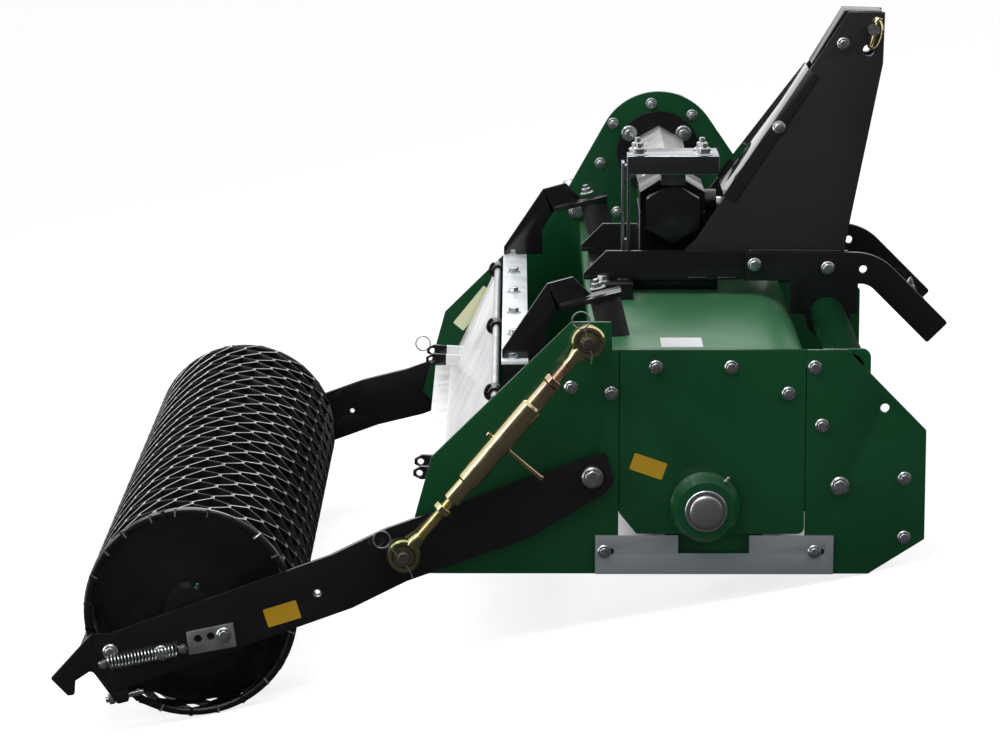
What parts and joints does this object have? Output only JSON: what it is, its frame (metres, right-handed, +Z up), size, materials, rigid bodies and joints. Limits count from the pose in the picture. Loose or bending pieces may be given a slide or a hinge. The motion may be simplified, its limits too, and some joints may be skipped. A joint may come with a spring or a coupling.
{
  "type": "stone burier",
  "caption": "Tractor-carried stone burier with hooded rotor, sieve, hinged rear flap, drive shaft gearbox, linkage headstock and a mesh packer roller set by turnbuckles.",
  "frame": {"origin": "point on the floor under the middle of the bounding box", "axes": "+X forward to the tractor, +Y to the left of the machine, +Z up; the level machine stands nose down by 11.89 degrees on its roller and side plates"},
  "size_m": [1.4896, 1.421, 0.7911],
  "materials": {
    "green_paint": "gloss",
    "black_paint": "gloss",
    "galvanised_steel": "zinc-plated, semi-gloss",
    "yellow_zinc": "yellow passivated zinc",
    "black_rubber": "matt",
    "bright_steel": "machined",
    "cast_aluminium": "as cast",
    "bare_steel": "bare forged steel"
  },
  "bodies": {
    "frame": {"arm_pivots": "galvanised_steel", "bearing_cap": "galvanised_steel", "bearing_housing": "green_paint", "bearing_panel_right": "green_paint", "buffer_brackets": "black_paint", "closing_plate": "galvanised_steel", "drive_case": "green_paint", "drive_flange": "black_paint", "drive_tube": "cast_aluminium", "front_tube": "green_paint", "gearbox": "black_paint", "gearbox_bracket": "galvanised_steel", "headstock_beams": "black_paint", "hinge_rod": "galvanised_steel", "hitch_plates": "black_paint", "hood": "green_paint", "lower_link_pins": "bright_steel", "mast_cover": "black_paint", "mast_head": "black_paint", "mast_sides": "black_paint", "rear_rail": "black_paint", "rubber_buffers": "black_rubber", "seam_straps_right": "green_paint", "side_plate_left": "green_paint", "side_plate_right_front": "green_paint", "side_plate_right_rear": "green_paint", "sieve_beam": "black_paint", "sieve_clamp_strip": "galvanised_steel", "sieve_rods": "bare_steel", "top_link_pin": "bright_steel", "tube_clamps": "black_paint", "turnbuckle_top_pins": "yellow_zinc"},
    "rotor": {"rotor_shaft": "black_paint", "rotor_flanges": "black_paint", "rotor_tines": "bare_steel"},
    "pto_shaft": {"pto_shaft": "bright_steel"},
    "roller_frame": {"roller_arms": "black_paint", "roller_bearings": "black_paint", "scraper": "black_paint", "scraper_springs": "galvanised_steel", "spring_plates": "galvanised_steel"},
    "roller": {"roller_drum": "black_paint", "roller_discs": "black_paint", "roller_axle": "black_paint"},
    "rear_flap": {"rear_flap": "galvanised_steel"},
    "turnbuckle_right": {"turnbuckle_barrel_right": "yellow_zinc"},
    "turnbuckle_left": {"turnbuckle_barrel_left": "yellow_zinc"},
    "turnbuckle_rod_right": {"turnbuckle_rod_right": "yellow_zinc"},
    "turnbuckle_rod_left": {"turnbuckle_rod_left": "yellow_zinc"}
  },
  "joints": [
    {"name": "rotor_spin", "type": "hinge", "parent": "frame", "child": "rotor", "pos_m": [0.29175, 0, 0.15663], "axis": [0, 1, 0], "continuous": true},
    {"name": "pto_shaft_spin", "type": "hinge", "parent": "frame", "child": "pto_shaft", "pos_m": [0.46157, -0.02, 0.50205], "axis": [0.9785, 0, -0.206], "continuous": true},
    {"name": "roller_frame_lift", "type": "hinge", "parent": "frame", "child": "roller_frame", "pos_m": [0.13179, 0, 0.24141], "axis": [0, 1, 0], "range_deg": [-8, 18]},
    {"name": "roller_spin", "type": "hinge", "parent": "roller_frame", "child": "roller", "pos_m": [-0.51483, 0, 0.165], "axis": [0, 1, 0], "continuous": true},
    {"name": "rear_flap_hinge", "type": "hinge", "parent": "frame", "child": "rear_flap", "pos_m": [0.00891, 0, 0.38582], "axis": [0, 1, 0], "range_deg": [0, 65]},
    {"name": "turnbuckle_right_swing", "type": "hinge", "parent": "frame", "child": "turnbuckle_right", "pos_m": [0.16903, 0, 0.45226], "axis": [0, 1, 0], "range_deg": [-6, 12]},
    {"name": "turnbuckle_left_swing", "type": "hinge", "parent": "frame", "child": "turnbuckle_left", "pos_m": [0.16903, 0, 0.45226], "axis": [0, 1, 0], "range_deg": [-6, 12]},
    {"name": "turnbuckle_right_thread", "type": "slide", "parent": "turnbuckle_right", "child": "turnbuckle_rod_right", "axis": [-0.7887, 0, -0.6148], "range_m": [-0.05, 0.025]},
    {"name": "turnbuckle_left_thread", "type": "slide", "parent": "turnbuckle_left", "child": "turnbuckle_rod_left", "axis": [-0.7887, 0, -0.6148], "range_m": [-0.05, 0.025]}
  ],
  "couplings": [
    {"joint": "pto_shaft_spin", "follows": "rotor_spin", "ratio": 2.1},
    {"joint": "turnbuckle_right_swing", "follows": "roller_frame_lift", "ratio": 0.6363},
    {"joint": "turnbuckle_left_swing", "follows": "roller_frame_lift", "ratio": 0.6363},
    {"joint": "turnbuckle_right_thread", "follows": "roller_frame_lift", "m_per_rad": -0.1434},
    {"joint": "turnbuckle_left_thread", "follows": "roller_frame_lift", "m_per_rad": -0.1434}
  ]
}
